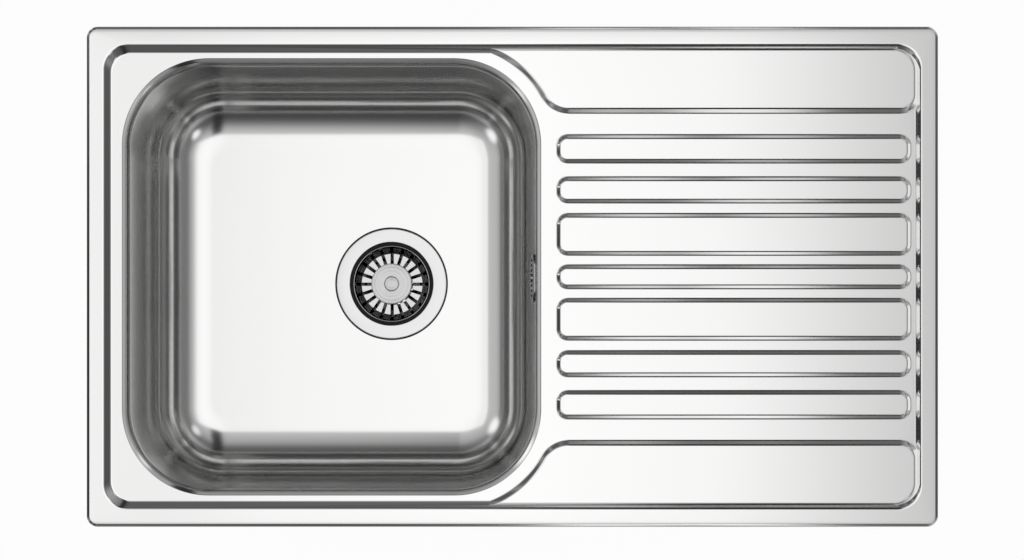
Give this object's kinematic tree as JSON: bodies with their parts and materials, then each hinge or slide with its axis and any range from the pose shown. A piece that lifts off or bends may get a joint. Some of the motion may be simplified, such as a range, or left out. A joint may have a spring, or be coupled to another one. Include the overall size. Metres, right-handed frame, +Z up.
{
  "type": "kitchen sink with drainboard",
  "caption": "Inset stainless kitchen sink with a square bowl, a ribbed drainer, a lift-out basket strainer, an overflow and swing-out clamping clips.",
  "frame": {"origin": "centre of the rim's outline, on the worktop's top surface", "axes": "+X along the length from the bowl to the drainer, +Y to the back edge, +Z up"},
  "size_m": [0.8, 0.47, 0.241],
  "materials": {
    "deck_steel": "satin, fine grain",
    "bowl_steel": "silky satin",
    "waste_steel": "polished stainless",
    "brushed_knob": "turned, concentric grain",
    "rubber": "matt",
    "foam": "closed-cell foam",
    "sound_pad": "dull bitumen",
    "waste_plastic": "moulded, light satin",
    "nut_plastic": "moulded, light satin",
    "clip_steel": "zinc plated"
  },
  "bodies": {
    "sink": {"sink_top": "deck_steel", "rim_seal": "foam", "bowl": "bowl_steel", "bowl_pad": "sound_pad", "strainer_cup": "waste_steel", "cup_seal": "rubber", "body_seal": "rubber", "waste_body": "waste_plastic", "outlet_tail": "waste_plastic", "fixing_screw": "waste_steel", "overflow_rose": "waste_steel", "overflow_screw": "waste_steel", "overflow_seal": "rubber", "overflow_body": "waste_plastic", "overflow_pipe": "waste_plastic", "overflow_nut_top": "nut_plastic", "overflow_nut_bottom": "nut_plastic", "overflow_washer_top": "rubber", "overflow_washer_bottom": "rubber", "clip_brackets": "clip_steel"},
    "strainer": {"basket": "waste_steel", "basket_seal": "rubber", "basket_knob": "brushed_knob", "basket_rivet": "brushed_knob", "basket_stem": "waste_steel", "stem_ring": "rubber"},
    "screw_1": {"clip_screw_1": "clip_steel"},
    "claw_1": {"clip_claw_1": "clip_steel"},
    "screw_2": {"clip_screw_2": "clip_steel"},
    "claw_2": {"clip_claw_2": "clip_steel"},
    "screw_3": {"clip_screw_3": "clip_steel"},
    "claw_3": {"clip_claw_3": "clip_steel"},
    "screw_4": {"clip_screw_4": "clip_steel"},
    "claw_4": {"clip_claw_4": "clip_steel"},
    "screw_5": {"clip_screw_5": "clip_steel"},
    "claw_5": {"clip_claw_5": "clip_steel"},
    "screw_6": {"clip_screw_6": "clip_steel"},
    "claw_6": {"clip_claw_6": "clip_steel"},
    "screw_7": {"clip_screw_7": "clip_steel"},
    "claw_7": {"clip_claw_7": "clip_steel"},
    "screw_8": {"clip_screw_8": "clip_steel"},
    "claw_8": {"clip_claw_8": "clip_steel"}
  },
  "joints": [
    {"name": "basket_lift", "type": "slide", "parent": "sink", "child": "strainer", "axis": [0, 0, 1], "range_m": [0, 0.22]},
    {"name": "clip_1_tighten", "type": "slide", "parent": "sink", "child": "screw_1", "axis": [0, 0, 1], "range_m": [0, 0.02]},
    {"name": "clip_1_swing", "type": "hinge", "parent": "screw_1", "child": "claw_1", "pos_m": [-0.33, 0.213, -0.06], "axis": [0, 0, 1], "range_deg": [0, 90]},
    {"name": "clip_2_tighten", "type": "slide", "parent": "sink", "child": "screw_2", "axis": [0, 0, 1], "range_m": [0, 0.02]},
    {"name": "clip_2_swing", "type": "hinge", "parent": "screw_2", "child": "claw_2", "pos_m": [-0.02, 0.213, -0.06], "axis": [0, 0, 1], "range_deg": [0, 90]},
    {"name": "clip_3_tighten", "type": "slide", "parent": "sink", "child": "screw_3", "axis": [0, 0, 1], "range_m": [0, 0.02]},
    {"name": "clip_3_swing", "type": "hinge", "parent": "screw_3", "child": "claw_3", "pos_m": [0.33, 0.213, -0.06], "axis": [0, 0, 1], "range_deg": [0, 90]},
    {"name": "clip_4_tighten", "type": "slide", "parent": "sink", "child": "screw_4", "axis": [0, 0, 1], "range_m": [0, 0.02]},
    {"name": "clip_4_swing", "type": "hinge", "parent": "screw_4", "child": "claw_4", "pos_m": [-0.378, 0, -0.06], "axis": [0, 0, 1], "range_deg": [0, 90]},
    {"name": "clip_5_tighten", "type": "slide", "parent": "sink", "child": "screw_5", "axis": [0, 0, 1], "range_m": [0, 0.02]},
    {"name": "clip_5_swing", "type": "hinge", "parent": "screw_5", "child": "claw_5", "pos_m": [-0.33, -0.213, -0.06], "axis": [0, 0, 1], "range_deg": [0, 90]},
    {"name": "clip_6_tighten", "type": "slide", "parent": "sink", "child": "screw_6", "axis": [0, 0, 1], "range_m": [0, 0.02]},
    {"name": "clip_6_swing", "type": "hinge", "parent": "screw_6", "child": "claw_6", "pos_m": [-0.02, -0.213, -0.06], "axis": [0, 0, 1], "range_deg": [0, 90]},
    {"name": "clip_7_tighten", "type": "slide", "parent": "sink", "child": "screw_7", "axis": [0, 0, 1], "range_m": [0, 0.02]},
    {"name": "clip_7_swing", "type": "hinge", "parent": "screw_7", "child": "claw_7", "pos_m": [0.33, -0.213, -0.06], "axis": [0, 0, 1], "range_deg": [0, 90]},
    {"name": "clip_8_tighten", "type": "slide", "parent": "sink", "child": "screw_8", "axis": [0, 0, 1], "range_m": [0, 0.02]},
    {"name": "clip_8_swing", "type": "hinge", "parent": "screw_8", "child": "claw_8", "pos_m": [0.378, 0, -0.06], "axis": [0, 0, 1], "range_deg": [0, 90]}
  ]
}
